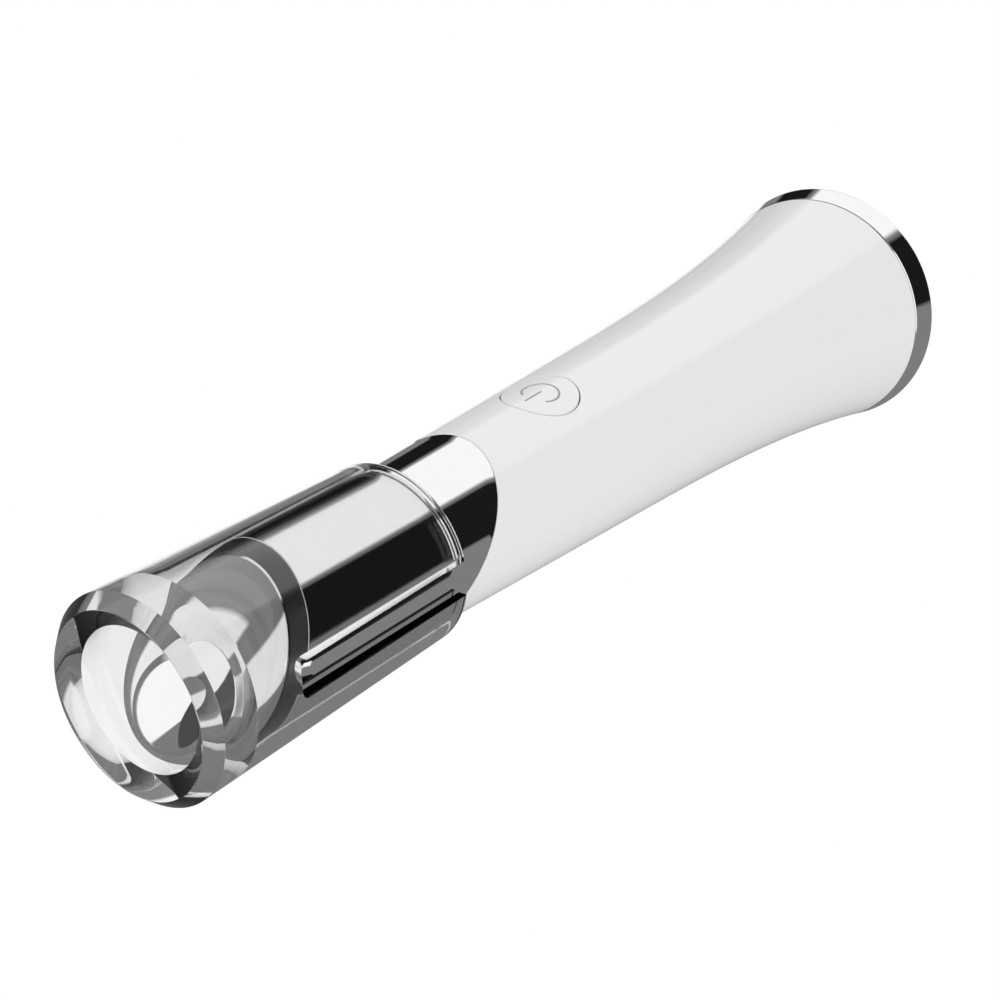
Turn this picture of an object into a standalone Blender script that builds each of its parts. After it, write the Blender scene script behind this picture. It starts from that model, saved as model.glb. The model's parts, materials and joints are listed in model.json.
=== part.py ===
"""A hand-held eye massager wand that stands on its flared base.

The wand's axis is +Z, the base is at z = 0 and the massage head is at the top, under a
clear travel cap that pulls off upwards. The power button faces -Y. Lengths are metres.
"""

import bpy
import bmesh
import numpy as np

MM = 0.001

# Overall sizes
TOTAL_HEIGHT = 141.6 * MM
CAP_LENGTH = 39.6 * MM
BASE_RADIUS = 17.5 * MM
CONE_BASE_RADIUS = 13.7 * MM
NECK_RADIUS = 9.5 * MM
FLARE_HEIGHT = 60.0 * MM
FLARE_POWER = 2.6
SHELL_WALL = 1.5 * MM

# Clearances
SEAT_GAP = 0.3 * MM
SLIDE_GAP = 0.25 * MM
CUT_OVERRUN = 5.0 * MM

# Travel cap
CAP_REAR_RADIUS = 10.87 * MM
CAP_FRONT_RADIUS = 11.5 * MM
CAP_MOUTH_RADIUS = 7.9 * MM
CAP_CREST_SHARE = 0.61
CAP_RIM_RISE = 1.6 * MM
CAP_TAPER_GAP = 0.6 * MM
CAP_CHAMFER = 0.15 * MM
SLOT_WIDTH = 4.1 * MM
SLOT_LENGTH = 27.0 * MM
SLOT_TURN = np.radians(5.0)
SLOT_CORNER_SHARE = 0.55
KEY_SIDE_GAP = 0.25 * MM
KEY_HEIGHT = 0.55 * MM
KEY_DEPTH = 0.6 * MM
KEY_FRONT_GAP = 1.5 * MM
KEY_REAR_GAP = 0.8 * MM
KEY_RAMP = 1.1 * MM
KEY_EDGE = 0.1 * MM

# Neck sleeve and its two slanted ends
REAR_CUT_DROP = 3.8 * MM
REAR_CUT_SLOPE = 0.87
FRONT_CUT_SHARE = 0.3359
FRONT_CUT_SLOPE = 0.6
SLEEVE_WALL = 1.5 * MM
SPIGOT_REACH = 3.0 * MM
SPIGOT_WALL = 0.9 * MM
SLEEVE_CHAMFER = 0.35 * MM

# Massage head and the dark ring that carries it
HEAD_RADIUS = 7.7 * MM
HEAD_RISE = 7.8 * MM
HEAD_FULLNESS = 2.2
HEAD_WALL = 0.8 * MM
RING_HEIGHT = 1.1 * MM
RING_SHOULDER = 0.3 * MM
RING_TUBE_WALL = 0.8 * MM
RING_DEPTH = 4.0 * MM
RING_RISE = 1.6 * MM
HEATER_THICKNESS = 0.7 * MM

# Base
BASE_RING_HEIGHT = 4.0 * MM
BASE_RING_WALL = 1.7 * MM
BASE_EDGE = 0.4 * MM
PLATE_THICKNESS = 2.2 * MM
COLLAR_INSET = 1.4 * MM
COLLAR_WALL = 1.0 * MM
COLLAR_HEIGHT = 4.6 * MM
POST_RADIUS = 2.2 * MM
POST_OFFSET = 8.0 * MM
SCREW_RADIUS = 0.8 * MM
SCREW_HEAD_RADIUS = 1.6 * MM
SCREW_HEAD_HEIGHT = 1.0 * MM
SCREW_LENGTH = 4.0 * MM

# Charging socket
SOCKET_WIDTH = 8.9 * MM
SOCKET_DEPTH = 3.2 * MM
SOCKET_WALL = 0.35 * MM
SOCKET_LIP = 0.5 * MM
TONGUE_WIDTH = 6.7 * MM
TONGUE_DEPTH = 0.7 * MM
TONGUE_LENGTH = 4.4 * MM
TONGUE_ROOT = 1.2 * MM

# Boards
BOARD_THICKNESS = 1.0 * MM
CHARGE_BOARD_RADIUS = 12.0 * MM
MAIN_BOARD_WIDTH = 10.0 * MM
MAIN_BOARD_OFFSET = 4.1 * MM
CHIP_WIDTH = 5.0 * MM
CHIP_HEIGHT = 1.2 * MM
CHIP_LENGTH = 6.0 * MM
CHIP_DROP = 24.5 * MM

# Inner frame and battery
CELL_RADIUS = 5.0 * MM
CELL_LENGTH = 44.0 * MM
CELL_OFFSET = 2.2 * MM
CELL_EDGE = 0.6 * MM
CONTACT_THICKNESS = 0.4 * MM
CRADLE_WALL = 1.1 * MM
CRADLE_MOUTH_SHARE = 0.4
DISC_THICKNESS = 2.0 * MM
FRAME_LEG = 3.0 * MM
LEG_WIDTH = 3.0 * MM
LEG_OFFSET = 8.6 * MM
LEG_BACK_SHARE = 0.5
WINDOW_WIDTH = 8.0 * MM
WINDOW_DEPTH = 3.0 * MM

# Power button and switch
BUTTON_DROP = 23.7 * MM
BUTTON_HALF_LENGTH = 5.0 * MM
BUTTON_HALF_WIDTH = 4.5 * MM
BUTTON_PLATE = 1.3 * MM
BUTTON_GAP = 0.3 * MM
STEM_RADIUS = 1.5 * MM
GASKET_THICKNESS = 0.5 * MM
GASKET_DROP = 0.3 * MM
GASKET_MARGIN = 1.4 * MM
GASKET_HOLE_GAP = 0.4 * MM
SWITCH_WIDTH = 4.5 * MM
SWITCH_HEIGHT = 1.5 * MM
PLUNGER_RADIUS = 1.2 * MM
PLUNGER_TRAVEL = 0.35 * MM
PLUNGER_CLEARANCE = 0.1 * MM
PLUNGER_LENGTH = 0.7 * MM
STEM_GAP = 0.2 * MM

# Vibration motor
MOTOR_RADIUS = 4.0 * MM
MOTOR_LENGTH = 13.0 * MM
MOTOR_EDGE = 0.5 * MM
BOOT_LENGTH = 12.0 * MM
SHAFT_RADIUS = 0.75 * MM
SHAFT_LENGTH = 6.0 * MM
WEIGHT_RADIUS = 4.2 * MM
WEIGHT_THICKNESS = 4.0 * MM
WEIGHT_HUB = 1.7 * MM
WEIGHT_BORE_GAP = 0.15 * MM
WEIGHT_GAP = 1.2 * MM

# Leads
LEAD_RADIUS = 0.45 * MM
LEAD_SPREAD = 2.0 * MM
LEAD_BOW = 1.5 * MM

# Points round a circle, and steps along curves
FINE = 48
MEDIUM = 32
COARSE = 20
SHELL_STEPS = 17
SHELL_STEP_POWER = 1.35
DOME_STEPS = 11
DOME_INNER_STEPS = 7
CORNER_STEPS = 6
SOCKET_END_STEPS = 8
LEAD_STEPS = 12
SHARP_ANGLE = np.radians(30.0)

# Heights that follow from the sizes above
CAP_REAR = TOTAL_HEIGHT - CAP_LENGTH
REAR_CUT_HEIGHT = CAP_REAR - REAR_CUT_DROP
FRONT_CUT_HEIGHT = TOTAL_HEIGHT - FRONT_CUT_SHARE * CAP_LENGTH
BUTTON_HEIGHT = REAR_CUT_HEIGHT - BUTTON_DROP
CHIP_PLACE = BUTTON_HEIGHT - CHIP_DROP
CAP_BORE = NECK_RADIUS + SLIDE_GAP
SHELL_FOOT = BASE_RING_HEIGHT + SEAT_GAP
SPIGOT_RADIUS = NECK_RADIUS - SHELL_WALL - SEAT_GAP
SLEEVE_BORE = NECK_RADIUS - SLEEVE_WALL
SLEEVE_FOOT = REAR_CUT_HEIGHT - REAR_CUT_SLOPE * NECK_RADIUS - SPIGOT_REACH
MAIN_BOARD_TOP = SLEEVE_FOOT - 2 * SEAT_GAP
LEDGE_HEIGHT = CAP_REAR + SLEEVE_CHAMFER
HEAD_SEAT = FRONT_CUT_HEIGHT + SEAT_GAP + RING_HEIGHT
POST_HEIGHT = PLATE_THICKNESS + COLLAR_HEIGHT
CHARGE_BOARD_FOOT = POST_HEIGHT + SEAT_GAP
CHARGE_BOARD_TOP = CHARGE_BOARD_FOOT + BOARD_THICKNESS
LOW_DISC_FOOT = CHARGE_BOARD_TOP + SEAT_GAP + FRAME_LEG
LOW_DISC_TOP = LOW_DISC_FOOT + DISC_THICKNESS
CELL_FOOT = LOW_DISC_TOP + SEAT_GAP + CONTACT_THICKNESS + SEAT_GAP
CELL_TOP = CELL_FOOT + CELL_LENGTH
HIGH_DISC_FOOT = CELL_TOP + SEAT_GAP + CONTACT_THICKNESS + SEAT_GAP
HIGH_DISC_TOP = HIGH_DISC_FOOT + DISC_THICKNESS
BOARD_FRONT = -MAIN_BOARD_OFFSET - BOARD_THICKNESS
BOARD_BACK = -MAIN_BOARD_OFFSET
MOTOR_FOOT = LEDGE_HEIGHT + 2 * SEAT_GAP
SWITCH_FRONT = BOARD_FRONT - SEAT_GAP - SWITCH_HEIGHT
PLUNGER_FOOT = SWITCH_FRONT - PLUNGER_TRAVEL - PLUNGER_CLEARANCE
PLUNGER_FRONT = PLUNGER_FOOT - PLUNGER_LENGTH
STEM_END = PLUNGER_FRONT - STEM_GAP


def body_radius(height):
    """Outer radius of the handle: a slim cone that flares out towards the base."""
    cone = NECK_RADIUS + (CONE_BASE_RADIUS - NECK_RADIUS) * (1 - height / CAP_REAR)
    rise = np.clip(1 - height / FLARE_HEIGHT, 0, None)
    return cone + (BASE_RADIUS - CONE_BASE_RADIUS) * rise ** FLARE_POWER


def angles(count):
    """Angles round the axis, counted from +X."""
    return np.arange(count) * 2 * np.pi / count


def ring(radius, height, count):
    """One circle of points round the axis; the radius and height may vary with the angle."""
    turn = angles(count)
    points = np.empty((count, 3))
    points[:, 0] = radius * np.cos(turn)
    points[:, 1] = radius * np.sin(turn)
    points[:, 2] = height
    return points


def slanted(radius, height, slope, count):
    """Heights of a slanted plane, highest at +Y, at a circle of this radius."""
    return height + slope * radius * np.sin(angles(count))


def rear_cut(count):
    """Heights of the slanted seam between handle and sleeve, and the radius there.

    The seam stops short of the cap's rear edge, so that only the sleeve goes under the cap."""
    height = np.full(count, REAR_CUT_HEIGHT)
    for _ in range(6):
        plane = slanted(body_radius(height), REAR_CUT_HEIGHT, REAR_CUT_SLOPE, count)
        height = np.minimum(plane, CAP_REAR - SEAT_GAP)
    return height, body_radius(height)


def new_object(name, mesh, finish):
    thing = bpy.data.objects.new(name, mesh)
    bpy.context.scene.collection.objects.link(thing)
    mesh.materials.append(finish)
    mesh.shade_smooth()
    mesh.set_sharp_from_angle(angle=SHARP_ANGLE)
    return thing


def finish_mesh(name, form):
    """Turn every face outwards and store the form as a mesh."""
    bmesh.ops.recalc_face_normals(form, faces=form.faces)
    mesh = bpy.data.meshes.new(name)
    form.to_mesh(mesh)
    form.free()
    return mesh


def stack(name, rings, finish, closed=False):
    """A solid skinned over a stack of rings of points.

    A closed stack joins its last ring to its first and makes a tube. An open stack ends in
    flat or pointed ends: an end given as one point is a pole, any other end is filled."""
    form = bmesh.new()
    rows = [[form.verts.new(point) for point in np.atleast_2d(circle)] for circle in rings]
    pairs = list(zip(rows, rows[1:]))
    if closed:
        pairs.append((rows[-1], rows[0]))
    for low, high in pairs:
        count = max(len(low), len(high))
        for index in range(count):
            following = (index + 1) % count
            if len(low) == 1:
                form.faces.new((low[0], high[index], high[following]))
            elif len(high) == 1:
                form.faces.new((low[index], low[following], high[0]))
            else:
                form.faces.new((low[index], low[following], high[following], high[index]))
    if not closed:
        for row in (rows[0], rows[-1]):
            if len(row) > 1:
                form.faces.new(row)
    return new_object(name, finish_mesh(name, form), finish)


def drum(name, radius, low, high, finish, edge=0.0, centre=(0.0, 0.0), count=COARSE):
    """A solid round piece along Z, with an optional chamfer at both ends."""
    heights = [(radius, low), (radius, high)]
    if edge > 0:
        heights = [(radius - edge, low), (radius, low + edge)]
        heights += [(radius, high - edge), (radius - edge, high)]
    shift = np.array([centre[0], centre[1], 0.0])
    return stack(name, [ring(r, z, count) + shift for r, z in heights], finish)


def box(name, low, high, finish):
    form = bmesh.new()
    bmesh.ops.create_cube(form, size=1)
    low, high = np.array(low), np.array(high)
    bmesh.ops.scale(form, vec=high - low, verts=form.verts)
    bmesh.ops.translate(form, vec=(high + low) / 2, verts=form.verts)
    return new_object(name, finish_mesh(name, form), finish)


def combine(thing, other, operation):
    """Cut another object from this one, or join it on, and remove the other."""
    modifier = thing.modifiers.new(operation.lower(), "BOOLEAN")
    modifier.operation = operation
    modifier.object = other
    bpy.context.view_layer.update()
    graph = bpy.context.evaluated_depsgraph_get()
    result = bpy.data.meshes.new_from_object(thing.evaluated_get(graph))
    thing.modifiers.clear()
    thing.data = result
    bpy.data.objects.remove(other)


def material(name, colour, roughness, metallic=0.0):
    finish = bpy.data.materials.new(name)
    finish.use_nodes = True
    shader = finish.node_tree.nodes["Principled BSDF"]
    shader.inputs["Base Color"].default_value = (*colour, 1.0)
    shader.inputs["Roughness"].default_value = roughness
    shader.inputs["Metallic"].default_value = metallic
    finish.diffuse_color = (*colour, 1.0)
    return finish


def make_materials():
    return {
        "white": material("gloss_white", (0.86, 0.86, 0.87), 0.25),
        "chrome": material("chrome_plate", (0.85, 0.86, 0.88), 0.05, 1.0),
        "clear": material("clear_cap", (0.92, 0.94, 0.95), 0.02),
        "dark": material("dark_plastic", (0.05, 0.05, 0.055), 0.3),
        "grey": material("grey_plastic", (0.45, 0.46, 0.48), 0.5),
        "rubber": material("silicone", (0.18, 0.18, 0.19), 0.8),
        "board": material("circuit_board", (0.02, 0.22, 0.1), 0.5),
        "steel": material("steel", (0.6, 0.6, 0.62), 0.3, 1.0),
        "brass": material("brass", (0.75, 0.58, 0.25), 0.35, 1.0),
        "cell": material("cell_wrap", (0.1, 0.25, 0.5), 0.4),
        "red": material("red_lead", (0.6, 0.03, 0.03), 0.5),
        "black": material("black_lead", (0.03, 0.03, 0.03), 0.5),
        "heater": material("heater_film", (0.55, 0.28, 0.08), 0.4),
    }


def button_outline(margin, count):
    """Points of the button's oval, seen along Y, grown outwards by a margin."""
    turn = angles(count)
    across = (BUTTON_HALF_WIDTH + margin) * np.cos(turn)
    along = (BUTTON_HALF_LENGTH + margin) * np.sin(turn)
    return across, along


def on_body(across, along, depth):
    """Points on the handle's surface, sunk by a depth, over the button's plane."""
    height = BUTTON_HEIGHT + along
    radius = body_radius(height) - depth
    points = np.empty((len(across), 3))
    points[:, 0] = across
    points[:, 1] = -np.sqrt(radius ** 2 - across ** 2)
    points[:, 2] = height
    return points


def curved_plate(name, margin, top_depth, bottom_depth, finish):
    """An oval plate that follows the handle between two depths under its surface."""
    ring_shares = (0.4, 0.75, 1.0)
    across, along = button_outline(margin, MEDIUM)
    centre = np.zeros(1)
    rows = [on_body(centre, centre, bottom_depth)]
    rows += [on_body(across * share, along * share, bottom_depth) for share in ring_shares]
    rows += [on_body(across * share, along * share, top_depth) for share in reversed(ring_shares)]
    rows.append(on_body(centre, centre, top_depth))
    return stack(name, rows, finish)


def lengthwise_drum(name, radius, front, back, finish):
    """A round piece along Y between two places, on the button's axis."""
    turn = angles(COARSE)
    rows = []
    for place in (front, back):
        circle = np.empty((COARSE, 3))
        circle[:, 0] = radius * np.cos(turn)
        circle[:, 1] = place
        circle[:, 2] = BUTTON_HEIGHT + radius * np.sin(turn)
        rows.append(circle)
    return stack(name, rows, finish)


def make_handle_shell(finishes):
    """The white shell: a hollow flared body with a slanted top edge and the button's hole."""
    top, _ = rear_cut(FINE)
    top = top - SEAT_GAP / 2
    rows = []
    rise_shares = np.linspace(0, 1, SHELL_STEPS) ** SHELL_STEP_POWER
    for share in rise_shares:
        height = SHELL_FOOT + share * (top - SHELL_FOOT)
        rows.append(ring(body_radius(height), height, FINE))
    for share in rise_shares[::-2]:
        height = SHELL_FOOT + share * (top - SHELL_FOOT)
        rows.append(ring(body_radius(height) - SHELL_WALL, height, FINE))
    shell = stack("handle_shell", rows, finishes["white"], closed=True)
    across, along = button_outline(BUTTON_GAP, MEDIUM)
    cut = []
    for place in (-body_radius(0.0) - CUT_OVERRUN, -CUT_OVERRUN):
        circle = np.stack([across, np.full(MEDIUM, place), BUTTON_HEIGHT + along], axis=1)
        cut.append(circle)
    combine(shell, stack("button_hole", cut, finishes["white"]), "DIFFERENCE")
    return shell


def make_neck_sleeve(finishes):
    """The chrome neck: flush with the handle at a slanted seam, straight under the cap, and
    cut off at a slant in front. A spigot goes down inside the handle, and a blind pocket in
    the side takes the key."""
    seam, seam_radius = rear_cut(FINE)
    seam = seam + SEAT_GAP / 2
    rows = [ring(SPIGOT_RADIUS, SLEEVE_FOOT, FINE), ring(SPIGOT_RADIUS, seam, FINE)]
    rows.append(ring(seam_radius, seam, FINE))
    for share in (0.5, 1.0):
        height = seam + share * (CAP_REAR - seam)
        rows.append(ring(body_radius(height), height, FINE))
    edge = NECK_RADIUS - SLEEVE_CHAMFER
    front = slanted(NECK_RADIUS, FRONT_CUT_HEIGHT, FRONT_CUT_SLOPE, FINE)
    rows.append(ring(NECK_RADIUS, front - SLEEVE_CHAMFER, FINE))
    rows.append(ring(edge, slanted(edge, FRONT_CUT_HEIGHT, FRONT_CUT_SLOPE, FINE), FINE))
    rows.append(ring(SLEEVE_BORE, slanted(SLEEVE_BORE, FRONT_CUT_HEIGHT, FRONT_CUT_SLOPE, FINE), FINE))
    rows.append(ring(SLEEVE_BORE, LEDGE_HEIGHT, FINE))
    bore = SPIGOT_RADIUS - SPIGOT_WALL
    rows += [ring(bore, LEDGE_HEIGHT, FINE), ring(bore, SLEEVE_FOOT, FINE)]
    sleeve = stack("neck_sleeve", rows, finishes["chrome"], closed=True)
    width, low, high = key_size()
    floor = NECK_RADIUS - KEY_DEPTH - SEAT_GAP
    stages = ((floor, 0.0, 0.0), (NECK_RADIUS + CUT_OVERRUN, 0.0, 0.0))
    pocket = slot_prism("pocket", width + 2 * SEAT_GAP, low - SEAT_GAP, high + SEAT_GAP, stages,
                        finishes["chrome"])
    combine(sleeve, pocket, "DIFFERENCE")
    return sleeve


def make_head_ring(finishes):
    """The dark insulating ring between sleeve and head, with a tube down into the sleeve and a
    shorter one up into the head."""
    seat = FRONT_CUT_HEIGHT + SEAT_GAP
    shoulder = NECK_RADIUS - SLEEVE_CHAMFER
    deep_radius = SLEEVE_BORE - SEAT_GAP
    bore = deep_radius - RING_TUBE_WALL
    rise_radius = HEAD_RADIUS - HEAD_WALL - SEAT_GAP
    rise_bore = rise_radius - RING_TUBE_WALL
    stations = (
        (bore, seat - RING_DEPTH),
        (deep_radius, seat - RING_DEPTH),
        (deep_radius, seat),
        (shoulder, seat),
        (shoulder, seat + RING_SHOULDER),
        (HEAD_RADIUS, HEAD_SEAT - SEAT_GAP),
        (rise_radius, HEAD_SEAT - SEAT_GAP),
        (rise_radius, HEAD_SEAT + RING_RISE),
        (rise_bore, HEAD_SEAT + RING_RISE),
        (rise_bore, seat),
        (bore, seat - RING_SHOULDER),
    )
    rows = [ring(r, slanted(r, z, FRONT_CUT_SLOPE, FINE), FINE) for r, z in stations]
    return stack("head_ring", rows, finishes["dark"], closed=True)


def dome_rows(radius, rise, steps):
    """Rings of a dome over the slanted plane, from its rim to just below its top."""
    rows = []
    for step in range(steps):
        lift = step * np.pi / 2 / steps
        reach = radius * np.cos(lift) ** (2 / HEAD_FULLNESS)
        climb = rise * np.sin(lift) ** (2 / HEAD_FULLNESS)
        rows.append(ring(reach, slanted(reach, HEAD_SEAT + climb, FRONT_CUT_SLOPE, FINE), FINE))
    return rows


def make_massage_head(finishes):
    """The chrome massage head: a thin dome, round from the front, sheared to the slanted seat."""
    outer = dome_rows(HEAD_RADIUS, HEAD_RISE, DOME_STEPS)
    inner = dome_rows(HEAD_RADIUS - HEAD_WALL, HEAD_RISE - HEAD_WALL, DOME_INNER_STEPS)
    top = np.array([0.0, 0.0, HEAD_SEAT + HEAD_RISE])
    ceiling = np.array([0.0, 0.0, HEAD_SEAT + HEAD_RISE - HEAD_WALL])
    return stack("massage_head", [top] + outer[::-1] + inner + [ceiling], finishes["chrome"])


def make_heater(finishes):
    """The heating plate that lies on the head ring's upper tube, under the dome."""
    low = HEAD_SEAT + RING_RISE + SEAT_GAP
    radius = HEAD_RADIUS - HEAD_WALL - 2 * SEAT_GAP
    heights = (low, low + HEATER_THICKNESS)
    rows = [ring(radius, slanted(radius, z, FRONT_CUT_SLOPE, MEDIUM), MEDIUM) for z in heights]
    return stack("heater_plate", rows, finishes["heater"])


def side_direction():
    """The direction from the axis to the cap's slot, near -X and a little towards the button."""
    return np.array([-np.cos(SLOT_TURN), -np.sin(SLOT_TURN), 0.0])


def slot_prism(name, width, low, high, stages, finish):
    """A bar along Z towards the slot's side, with round corners at its top end. Each stage is
    a distance from the axis, and how far the sides and the ends are drawn in there."""
    out = side_direction()
    across = np.array([-out[1], out[0], 0.0])
    half = width / 2
    corner = half * SLOT_CORNER_SHARE
    outline = [(-half, low), (half, low)]
    for step in range(CORNER_STEPS + 1):
        turn = step * np.pi / 2 / CORNER_STEPS
        outline.append((half - corner * (1 - np.cos(turn)), high - corner * (1 - np.sin(turn))))
    outline += [(-side, height) for side, height in reversed(outline[2:])]
    outline = np.array(outline)
    middle = np.array([0.0, (low + high) / 2])
    rows = []
    for distance, side_inset, end_inset in stages:
        shrink = 1 - np.array([side_inset, end_inset]) / np.array([half, (high - low) / 2])
        points = (outline - middle) * shrink + middle
        rows.append(distance * out + points[:, :1] * across + points[:, 1:] * np.array([[0.0, 0.0, 1.0]]))
    return stack(name, rows, finish)


def make_travel_cap(finishes):
    """The clear cap: a thick-walled tube that widens towards the front, where its rim rises to
    a crest round the open mouth. Behind the mouth the inside widens again until just in front
    of the sleeve. A slot runs in from the rear edge."""
    base = TOTAL_HEIGHT - CAP_RIM_RISE
    taper_end = FRONT_CUT_HEIGHT + FRONT_CUT_SLOPE * NECK_RADIUS + CAP_TAPER_GAP
    crest = CAP_MOUTH_RADIUS + CAP_CREST_SHARE * (CAP_FRONT_RADIUS - CAP_MOUTH_RADIUS)
    stations = (
        (CAP_BORE, CAP_REAR),
        (CAP_REAR_RADIUS - CAP_CHAMFER, CAP_REAR),
        (CAP_REAR_RADIUS, CAP_REAR + CAP_CHAMFER),
        (CAP_FRONT_RADIUS, base),
        (crest, TOTAL_HEIGHT),
        (CAP_MOUTH_RADIUS, base),
        (CAP_BORE, taper_end),
    )
    rows = [ring(r, z, FINE) for r, z in stations]
    cap = stack("travel_cap", rows, finishes["clear"], closed=True)
    stages = ((CAP_MOUTH_RADIUS, 0.0, 0.0), (CAP_FRONT_RADIUS + CUT_OVERRUN, 0.0, 0.0))
    slot = slot_prism("slot", SLOT_WIDTH, CAP_REAR - CUT_OVERRUN, CAP_REAR + SLOT_LENGTH, stages,
                      finishes["clear"])
    combine(cap, slot, "DIFFERENCE")
    return cap


def key_size():
    """The key's width, and the heights of its two ends."""
    width = SLOT_WIDTH - 2 * KEY_SIDE_GAP
    return width, CAP_REAR + KEY_REAR_GAP, CAP_REAR + SLOT_LENGTH - KEY_FRONT_GAP


def make_cap_key(finishes):
    """The low key in the neck's pocket that the cap's slot slides over, with ramped ends."""
    width, low, high = key_size()
    stages = (
        (NECK_RADIUS - KEY_DEPTH, 0.0, 0.0),
        (NECK_RADIUS, 0.0, 0.0),
        (NECK_RADIUS + KEY_HEIGHT - KEY_EDGE, 0.0, KEY_RAMP - KEY_EDGE),
        (NECK_RADIUS + KEY_HEIGHT, KEY_EDGE, KEY_RAMP),
    )
    return slot_prism("cap_key", width, low, high, stages, finishes["chrome"])


def make_base_ring(finishes):
    """The chrome foot ring that continues the handle's flare down to the table."""
    bore = BASE_RADIUS - BASE_EDGE - BASE_RING_WALL
    stations = [
        (bore, 0.0),
        (BASE_RADIUS - BASE_EDGE, 0.0),
        (body_radius(BASE_EDGE), BASE_EDGE),
        (body_radius(BASE_RING_HEIGHT / 2), BASE_RING_HEIGHT / 2),
        (body_radius(BASE_RING_HEIGHT), BASE_RING_HEIGHT),
        (bore, BASE_RING_HEIGHT),
    ]
    return stack("base_ring", [ring(r, z, FINE) for r, z in stations], finishes["chrome"], closed=True)


def make_base_plate(finishes):
    """The plate that closes the base, with a collar, two screw posts and the socket's hole."""
    radius = BASE_RADIUS - BASE_EDGE - BASE_RING_WALL - SEAT_GAP
    collar = radius - COLLAR_INSET
    collar_top = PLATE_THICKNESS + COLLAR_HEIGHT
    stations = [
        (radius - BASE_EDGE, 0.0),
        (radius, BASE_EDGE),
        (radius, PLATE_THICKNESS),
        (collar, PLATE_THICKNESS),
        (collar, collar_top),
        (collar - COLLAR_WALL, collar_top),
        (collar - COLLAR_WALL, PLATE_THICKNESS),
    ]
    plate = stack("base_plate", [ring(r, z, FINE) for r, z in stations], finishes["white"])
    for side in (-1, 1):
        place = (side * POST_OFFSET, 0.0)
        post = drum("post", POST_RADIUS, PLATE_THICKNESS / 2, POST_HEIGHT, finishes["white"], centre=place)
        combine(plate, post, "UNION")
        bore = drum("bore", SCREW_RADIUS + SEAT_GAP, PLATE_THICKNESS, POST_HEIGHT + CUT_OVERRUN,
                    finishes["white"], centre=place)
        combine(plate, bore, "DIFFERENCE")
    hole = socket_prism("hole", SEAT_GAP, -CUT_OVERRUN, PLATE_THICKNESS + CUT_OVERRUN, finishes["white"])
    combine(plate, hole, "DIFFERENCE")
    return plate


def socket_outline(margin):
    """The socket's outline from below: a bar with half-round ends, grown by a margin."""
    radius = SOCKET_DEPTH / 2 + margin
    reach = SOCKET_WIDTH / 2 - SOCKET_DEPTH / 2
    points = []
    for side in (1, -1):
        for step in range(SOCKET_END_STEPS + 1):
            turn = (step / SOCKET_END_STEPS - 0.5) * np.pi
            points.append((side * (reach + radius * np.cos(turn)), side * radius * np.sin(turn)))
    return np.array(points)


def socket_prism(name, margin, low, high, finish):
    outline = socket_outline(margin)
    rows = [np.column_stack([outline, np.full(len(outline), z)]) for z in (low, high)]
    return stack(name, rows, finish)


def make_charge_socket(finishes):
    """The metal shell of the charging socket, open downwards, and its contact tongue."""
    low, high = SOCKET_LIP, CHARGE_BOARD_FOOT - SEAT_GAP
    floor = high - TONGUE_ROOT
    rows = []
    for margin, height in ((-SOCKET_WALL, floor), (-SOCKET_WALL, low), (0.0, low), (0.0, high)):
        outline = socket_outline(margin)
        rows.append(np.column_stack([outline, np.full(len(outline), height)]))
    shell = stack("charge_socket", rows, finishes["steel"])
    tongue_top = floor - SEAT_GAP
    high_corner = np.array([TONGUE_WIDTH / 2, TONGUE_DEPTH / 2, tongue_top])
    low_corner = np.array([-TONGUE_WIDTH / 2, -TONGUE_DEPTH / 2, tongue_top - TONGUE_LENGTH])
    tongue = box("socket_tongue", low_corner, high_corner, finishes["dark"])
    return shell, tongue


def make_charge_board(finishes):
    """The round board on the base posts that carries the charging socket."""
    board = drum("charge_board", CHARGE_BOARD_RADIUS, CHARGE_BOARD_FOOT, CHARGE_BOARD_TOP,
                 finishes["board"], count=MEDIUM)
    for side in (-1, 1):
        place = (side * POST_OFFSET, 0.0)
        hole = drum("hole", SCREW_RADIUS + SEAT_GAP, CHARGE_BOARD_FOOT - CUT_OVERRUN,
                    CHARGE_BOARD_TOP + CUT_OVERRUN, finishes["board"], centre=place)
        combine(board, hole, "DIFFERENCE")
    return board


def make_board_screw(name, side, finishes):
    """One of the two screws that hold the charging board on its posts."""
    head_foot = CHARGE_BOARD_TOP + SEAT_GAP
    stations = [
        (SCREW_RADIUS, head_foot - SCREW_LENGTH),
        (SCREW_RADIUS, head_foot),
        (SCREW_HEAD_RADIUS, head_foot),
        (SCREW_HEAD_RADIUS, head_foot + SCREW_HEAD_HEIGHT),
    ]
    shift = np.array([side * POST_OFFSET, 0.0, 0.0])
    return stack(name, [ring(r, z, COARSE) + shift for r, z in stations], finishes["steel"])


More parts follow.
